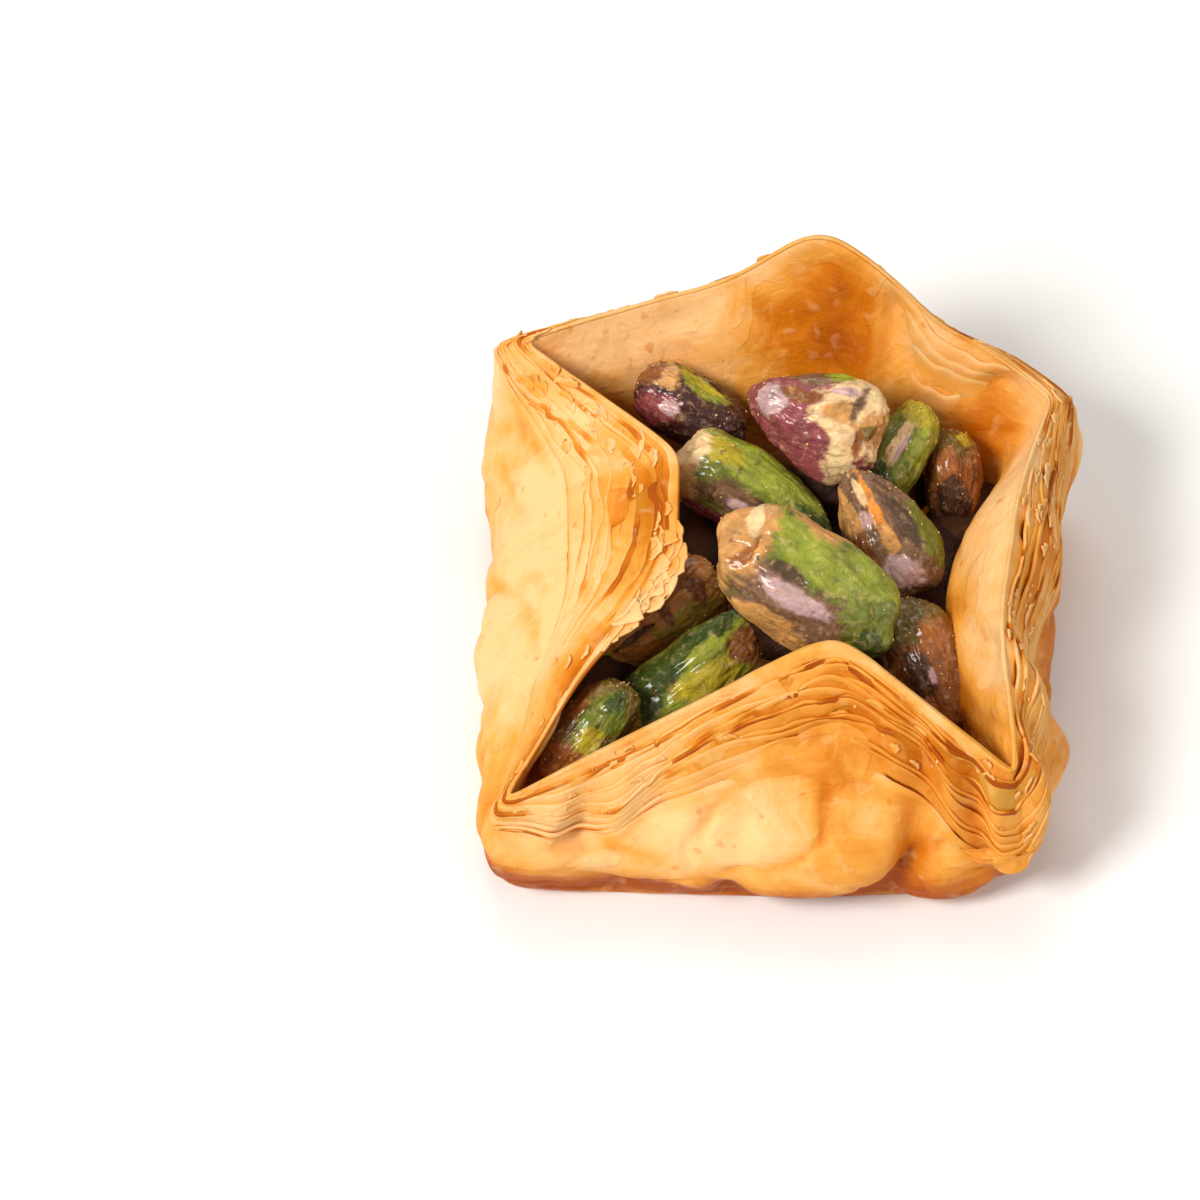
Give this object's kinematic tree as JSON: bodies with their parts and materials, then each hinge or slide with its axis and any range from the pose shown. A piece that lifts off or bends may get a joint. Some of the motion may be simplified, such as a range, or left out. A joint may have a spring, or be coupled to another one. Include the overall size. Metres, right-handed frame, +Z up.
{
  "type": "baklava piece",
  "caption": "Square basket of layered filo pastry with its corners folded up round a heap of glazed pistachio kernels, flat underneath.",
  "frame": {"origin": "centre of the bounding box in plan, on the surface that the pastry rests on", "axes": "+Z up; -Y is the front, with the low flap; +Y is the back, with the tallest flap; +X is the right-hand wall"},
  "size_m": [0.0486, 0.0524, 0.0244],
  "materials": {
    "pastry": "crisp baked filo, satin from butter and syrup",
    "nut_bed": "dark glazed nuts",
    "kernel_green": "glossy syrup over green nut",
    "kernel_purple": "glossy syrup over purple skin",
    "kernel_brown": "glossy syrup over brown skin"
  },
  "bodies": {
    "root": {"pastry_basket": "pastry", "pistachio_bed": "nut_bed", "pistachio_middle": "kernel_green", "pistachio_back_left": "kernel_green", "pistachio_back_middle": "kernel_purple", "pistachio_back_corner": "kernel_purple", "pistachio_right": "kernel_brown", "pistachio_right_back": "kernel_green", "pistachio_far_right": "kernel_brown", "pistachio_right_front": "kernel_brown", "pistachio_left": "kernel_brown", "pistachio_left_front": "kernel_green", "pistachio_front_corner": "kernel_green"}
  },
  "joints": []
}
